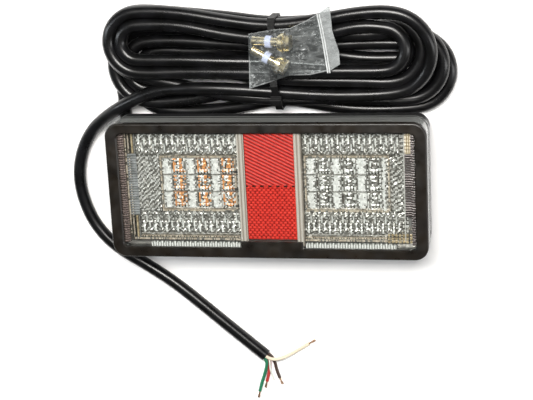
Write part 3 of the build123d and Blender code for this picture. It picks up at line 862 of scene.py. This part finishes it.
def cell_row(relief, x0, x1, y0, y1, flip):
    """Row of cushion cells: steep lozenges of painted highlight at the outer edge, each with a spot of
    painted shade beside it, and slanting ribs of painted highlight, grey sheen and shade under them.
    """
    width, tall = (x1 - x0) / CELLS, y1 - y0

    def cushion(u, v):
        return tilt(u, v) + 0.5 * saw(u * 2) + 0.4 * saw(v * 3)

    for k in range(CELLS):
        def look(u, v, k=k):
            up = 1 - v if flip else v
            for cx, cy, half in LOZENGES:
                # A lozenge is a painted highlight, and the spot just beside it painted shade.
                if abs(u - cx) / half + abs(up - cy) / (half * 2.0) < 1:
                    return "lit"
                if abs(u - cx - 0.2) / half + abs(up - cy) / (half * 1.6) < 0.7:
                    return "shade"
            ribs = saw((u * width * (1 if k % 2 else -1) + v * tall * 1.2) / STROKE_PITCH)
            return tone(ribs * 0.8, jitter(u * 31 + k, v * 17 + k * 3), 0.66, 0.3)

        a = x0 + k * width
        relief.patch(a, a + width, y0, y1, facets(width, tall), look, cushion, CELL_TOP, TRAY)


def hatched_column(relief, x0, x1, y0, y1):
    """Column of short slanting strokes of painted highlight, grey sheen and shade, each rank a little out of
    step with the next.
    """
    width, tall = x1 - x0, y1 - y0

    def look(u, v):
        rank = int(u * 3)
        strokes = saw((v * tall - u * width * 1.1 + rank * 0.9) / STROKE_PITCH)
        return tone(strokes * 0.85, jitter(u * 37, v * 53), 0.54, 0.28)

    def slant(u, v):
        return tilt(u, v) + 0.7 * saw((v * tall - u * width) / 5.2)

    relief.patch(x0, x1, y0, y1, facets(width, tall), look, slant, CELL_TOP, TRAY)


def bright_column(relief, x0, x1, y0, y1):
    """Column of upright lens strips, with a painted highlight in the middle that breaks into painted grey
    sheen and shade towards its sides.
    """
    def look(u, v):
        side = 1 - abs(2 * u - 1)
        found = tone(0.45 + side * 0.75, jitter(u * 23 + x0, v * 41 + y0), 0.62, 0.34)
        return "lit" if found == "bright" else found

    def rounded(u, v):
        return 0.6 * sin(pi * u) + tilt(u, v) * 0.4

    relief.patch(x0, x1, y0, y1, facets(x1 - x0, y1 - y0, 0.75), look, rounded, BLOCK_TOP - 0.8, TRAY)


def lamp_block(relief, x0, x1, y0, y1, strong, seed):
    """Block over one lamp: upright bars in the side's strong finish (real amber, or painted grey sheen) with
    painted highlights, thin dark lines of painted shade, and two rows of dashes under them.
    """
    bars, lines = BLOCK_FACETS

    def look(u, v):
        bar, line = int(u * bars), int(v * lines)
        chance = jitter(bar * 1.3 + seed, line * 1.7 + seed)
        if line == 0:
            return "shade" if bar % 2 else "lit"
        if line == 2:
            return strong if bar % 2 else "lit"
        if bar in (0, 3, 7):
            return "shade" if chance < 0.62 else "lit"
        if bar in (1, 5, 6):
            return strong if chance < 0.78 else "silver"
        return "lit" if chance < 0.4 else "silver" if chance < 0.75 else strong

    def nested(u, v):
        return 0.6 * saw(max(abs(2 * u - 1), abs(2 * v - 1)) * 2.0) + tilt(u, v) * 0.4

    relief.patch(x0, x1, y0, y1, BLOCK_FACETS, look, nested, BLOCK_TOP - 0.9, TRAY)


def lamp_grid(relief, middle, strong):
    """Three by three blocks, each beside a bright column."""
    px, py = GRID_PITCH
    for i in (-1, 0, 1):
        for j in (-1, 0, 1):
            left = middle[0] + (i - 0.5) * px
            low = middle[1] + (j - 0.5) * py
            bright_column(relief, left + 0.1, left + 5.5, low + 0.9, low + py - 0.2)
            lamp_block(relief, left + 5.9, left + px - 0.5, low + 1.1, low + py - 0.2, strong, i * 3 + j)


def thin_frame(relief, x0, x1, y0, y1):
    """Narrow tan line round a rectangle, broken by painted grey sheen."""
    width = 0.8
    for a, b, c, d, count in (
        (x0, x1, y0, y0 + width, (60, 1)), (x0, x1, y1 - width, y1, (60, 1)),
        (x0, x0 + width, y0 + width, y1 - width, (1, 40)), (x1 - width, x1, y0 + width, y1 - width, (1, 40)),
    ):
        def look(u, v, a=a):
            return "tan" if jitter(u * 61 + a, v * 43) < 0.7 else "silver"

        relief.patch(a, b, c, d, count, look, flat, BLOCK_TOP, TRAY)


def make_optic(side):
    """The whole clear inner lens of one side, in place of its plain block."""
    node = SIDES[side] + "_optic"
    low, high = box_mm(node)
    mid_x, mid_y = GRID_MIDDLE[side]
    half_x, half_y = 1.5 * GRID_PITCH[0], 1.5 * GRID_PITCH[1]
    inner_x, outer_x = (high.x, low.x) if side < 0 else (low.x, high.x)
    relief = Relief()

    # Ground under the blocks: stripes of painted highlight, grey sheen and shade.
    def ground(u, v):
        return tone(saw(v * 24), jitter(u * 71, v * 83), 0.62, 0.36)

    count = facets(high.x - low.x, high.y - low.y)
    relief.patch(low.x, high.x, low.y - 1.4, high.y, count, ground, tilt, 32.9, TRAY)
    cell_x = sorted((inner_x, outer_x - side * 4.0))
    top_y = (mid_y + half_y + 1.8, high.y - 1.6)
    low_y = (low.y + 0.3, mid_y - half_y - 1.6)
    cell_row(relief, *cell_x, *top_y, flip=False)
    cell_row(relief, *cell_x, *low_y, flip=True)
    # The left side's strokes start by the blocks; the right side has one more bright column before them.
    grid_edge = mid_x + side * (half_x + (0.8 if side < 0 else 4.6))
    band = sorted((grid_edge + side * 0.9, outer_x - side * (4.0 if side < 0 else 2.0)))
    hatched_column(relief, *band, low_y[1] + 0.3, top_y[0] - 0.3)
    lamp_grid(relief, (mid_x, mid_y), "amber" if side < 0 else "silver")
    if side > 0:
        bright_column(relief, *LAST_COLUMN, mid_y - 16, mid_y + 16)
    frame_x = (mid_x - half_x - 0.9, mid_x + half_x + (0.6 if side < 0 else 4.4))
    thin_frame(relief, *frame_x, mid_y - half_y - 1.2, mid_y + half_y + 1.3)
    if side < 0:
        for j in (-1, 0, 1):
            y = mid_y + j * GRID_PITCH[1]
            relief.patch(*DARK_MARKS, y - 3.6, y - 2.4, (1, 1), "dark", flat, BLOCK_TOP + 0.2, TRAY)
    relief.piece(node + "_prisms", "clear_optic", replaces=(node,))


def make_sill(side):
    """Tan lines, dots of painted shade and ticks of painted grey sheen along the lower side, and a dark sheet
    of painted shade in front of the licence diffuser.
    """
    low, high = box_mm(SIDES[side] + "_optic")
    front = box_mm(SIDES[side] + "_licence_diffuser")[1].y

    def dots(u, v):
        return "shade" if saw(u * 36) > 0.5 else "tan"

    def ticks(u, v):
        return "tan" if jitter(u * 97, 3) < 0.62 else "silver"

    relief = Relief()
    relief.patch(low.x, high.x, low.y - 2.1, low.y - 1.5, (90, 1), dots, flat, 34.6, TRAY)
    relief.patch(low.x, high.x, low.y - 3.2, low.y - 2.2, (110, 1), ticks, flat, 36.4, TRAY)
    # A dark sheet of painted shade over the diffuser's wall and the edge of the optic's frame.
    relief.patch(low.x - 1, high.x + 1, front + 0.05, low.y - 3.25, (2, 1), "dark", flat, 37.0, TRAY)
    relief.piece(SIDES[side] + "_sill", "clear_optic")


def left_end_wall(relief, x0, x1):
    """Ribbed wall, the long broken lines beside it, and the short lines above and below it; some of these
    lines are painted shade and painted grey sheen.
    """
    def ribs(u, v):
        return 0.3 * saw(v * 24)

    relief.patch(x1 - 5.4, x1, *WALL_ENDS, (2, 96), "ribbed", ribs, 34.9, TRAY)
    for k, name in enumerate(("tan", "shade", "tan", "silver")):
        def broken(u, v, name=name, k=k):
            return name if jitter(k, v * 57) < 0.75 else "shade"

        a = x0 + k * 0.95
        relief.patch(a, a + 0.7, -31.0, LINE_ENDS[1], (1, 60), broken, flat, 35.0, TRAY)
    for y0, y1 in ((20.8, LINE_ENDS[1]), (LINE_ENDS[0], -16.8)):
        for k, name in enumerate(("tan", "shade", "gold", "silver")):
            a = x1 - 5.2 + k * 1.35
            relief.patch(a, a + 0.95, y0, y1, (1, 10), name, flat, 35.0, TRAY)


def right_end_wall(relief, x0, x1):
    """Line of painted highlight, dark ribbed wall with a tan stretch above it, and gold dots at its foot."""
    level, foot = 36.1, 35.9

    def ribs(u, v):
        return 0.2 * saw(v * 24)

    def coarse_ribs(u, v):
        return 0.2 * saw(v * 6)

    relief.patch(x0 - 1.9, x0 - 1.3, *LINE_ENDS, (1, 30), "bright", flat, 36.2, foot)
    relief.patch(x0 - 1.2, x1, -16.0, WALL_ENDS[1], (4, 48), "dark_rib", ribs, level, foot)
    relief.patch(x0 - 1.2, x1, 20.9, LINE_ENDS[1], (3, 12), "tan", coarse_ribs, level, foot)
    for i in range(7):
        for j in range(3):
            a, b = 69.0 + i * 2.1, -31.2 + j * 2.0
            relief.patch(a, a + 1.3, b, b + 1.2, (1, 1), "gold", flat, 37.1, 36.2)
    for k in range(3):
        a = x1 - 2.4 + k * 1.2
        relief.patch(a, a + 0.7, 21.0, LINE_ENDS[1], (1, 1), "gold", flat, 36.4, 35.0)


def make_end_wall(side):
    """Inner end wall of one side, between its optic and its fluted strip."""
    flute = box_mm(SIDES[side] + "_end_flute")
    optic = box_mm(SIDES[side] + "_optic")
    relief = Relief()
    if side < 0:
        left_end_wall(relief, flute[1].x + 0.1, optic[0].x + 4.0)
    else:
        right_end_wall(relief, optic[1].x + 0.1, flute[0].x - 0.1)
    relief.piece(SIDES[side] + "_end_wall", "clear_optic")


def make_reflector():
    """Moulded face of the red reflector: slanting ribs above, small scales below, a row of ticks between;
    each facet's red follows its depth, with painted highlight on the ribs, painted shade in the grooves and
    ticks, and near-black along the left edge.
    """
    low, high = box_mm("red_reflector")
    width, tall = high.x - low.x, high.y - low.y
    split = low.y + tall * 0.5
    across, up = SCALE_PITCH

    def groove(u, v):
        """Depth of the pattern, from 0 on its ribs to 1 in its grooves and a little more in its ticks."""
        x, y = low.x + u * width, low.y + v * tall
        if min(u, 1 - u) * width < 0.35 or min(v, 1 - v) * tall < 0.3:
            return 0.6
        if abs(y - split) < 0.5:
            return 1.1 if saw(x / TICK_PITCH) > 0.55 else 0.4
        if y > split:
            return saw((y + 0.5 * x) / RIB_PITCH)
        row = round(y / up)
        from_middle = (x + (row % 2) * across / 2) % across - across / 2
        return min(1.0, hypot(from_middle, (y - row * up) * 1.3) / 1.35) ** 2

    # Painted light by depth: lighter red on the ribs, darker red in the grooves, near-black in the ticks and
    # along the left edge.
    def look(u, v):
        depth = groove(u, v)
        if depth > 1 or u * width < 0.45:
            return "red_edge"
        return "red_dark" if depth > 0.62 else "red_light" if depth < 0.25 else "red_reflector"

    def height(u, v):
        return -0.35 * groove(u, v)

    relief = Relief()
    count = facets(width, tall, 0.3)
    relief.patch(low.x, high.x, low.y, high.y, count, look, height, high.z, low.z + 0.1)
    relief.piece("reflector_face", "red_reflector", replaces=("red_reflector",))


# ---- stage -----------------------------------------------
FLOOR_REACH = 3.0
# Just under the lowest pieces, so that nothing flickers with the floor.
FLOOR_LEVEL = -0.0002
# A lens that makes a picture 533 elements wide show one of them per 1/1500 of its distance.
SENSOR = 36.0
LENS = SENSOR * 1500 / 533
CAMERA_PLACE = (0.16782, 0.23600, 0.84402)
CAMERA_FORWARD = (-0.19559, -0.28191, -0.93929)
CAMERA_UP = (-0.00743, 0.95819, -0.28603)


def make_stage():
    mesh = bpy.data.meshes.new("floor")
    corners = [(x * FLOOR_REACH, y * FLOOR_REACH, 0) for x, y in ((-1, -1), (1, -1), (1, 1), (-1, 1))]
    mesh.from_pydata(corners, [], [(0, 1, 2, 3)])
    floor = bpy.data.objects.new("floor", mesh)
    floor.location.z = FLOOR_LEVEL
    bpy.context.scene.collection.objects.link(floor)
    paint = Paint("floor_white", (0.93, 0.93, 0.93), 0.8, Specular_IOR_Level=0.1)
    paint.link("Base Color", paint.ramp(paint.noise(3, 3), (0.3, 0.92), (0.7, 0.94)))
    floor.data.materials.append(paint.material)


def area_light(name, place, aim, size, power, color=(1, 1, 1)):
    light = bpy.data.lights.new(name, "AREA")
    light.shape = "RECTANGLE"
    light.size, light.size_y = size
    light.energy = power
    light.color = color
    obj = bpy.data.objects.new(name, light)
    obj.location = place
    obj.rotation_mode = "QUATERNION"
    obj.rotation_quaternion = (Vector(aim) - Vector(place)).to_track_quat("-Z", "Y")
    bpy.context.scene.collection.objects.link(obj)


def make_lights():
    """One large key light, two side strips, and a world that is dim but looks pale behind the floor."""
    world = bpy.data.worlds.new("studio")
    world.use_nodes = True
    tree = world.node_tree
    fill = tree.nodes["Background"]
    fill.inputs["Color"].default_value = (0.93, 0.96, 1.0, 1)
    fill.inputs["Strength"].default_value = 0.07
    backdrop = tree.nodes.new("ShaderNodeBackground")
    backdrop.inputs["Color"].default_value = (0.93, 0.94, 0.95, 1)
    seen = tree.nodes.new("ShaderNodeLightPath").outputs["Is Camera Ray"]
    mix = tree.nodes.new("ShaderNodeMixShader")
    tree.links.new(seen, mix.inputs[0])
    tree.links.new(fill.outputs["Background"], mix.inputs[1])
    tree.links.new(backdrop.outputs["Background"], mix.inputs[2])
    tree.links.new(mix.outputs["Shader"], tree.nodes["World Output"].inputs["Surface"])
    bpy.context.scene.world = world
    area_light(
        "key", place=(0.10, 0.42, 0.95), aim=(0, 0.03, 0.02), size=(0.5, 0.26), power=17.5,
        color=(1.0, 0.975, 0.94),
    )
    area_light(
        "left_strip", place=(-0.75, 0.15, 0.55), aim=(0, 0, 0.03), size=(0.10, 0.7), power=2.6,
        color=(0.9, 0.95, 1.0),
    )
    area_light("right_strip", place=(0.8, -0.1, 0.5), aim=(0, 0, 0.03), size=(0.12, 0.7), power=2.5)


def make_camera():
    data = bpy.data.cameras.new("camera")
    data.sensor_width = SENSOR
    data.lens = LENS
    data.clip_start, data.clip_end = 0.05, 20
    camera = bpy.data.objects.new("camera", data)
    forward = Vector(CAMERA_FORWARD).normalized()
    right = forward.cross(Vector(CAMERA_UP)).normalized()
    turn = Matrix((right, right.cross(forward), -forward)).transposed()
    camera.matrix_world = Matrix.Translation(CAMERA_PLACE) @ turn.to_4x4()
    bpy.context.scene.collection.objects.link(camera)
    bpy.context.scene.camera = camera


make_camera()
make_lights()
make_stage()
paint_nodes()
make_cable()
make_cores()
make_press_seal()
make_bag()
for side in (-1, 1):
    make_optic(side)
    make_sill(side)
    make_end_wall(side)
make_reflector()

bpy.context.scene.view_settings.view_transform = "Standard"
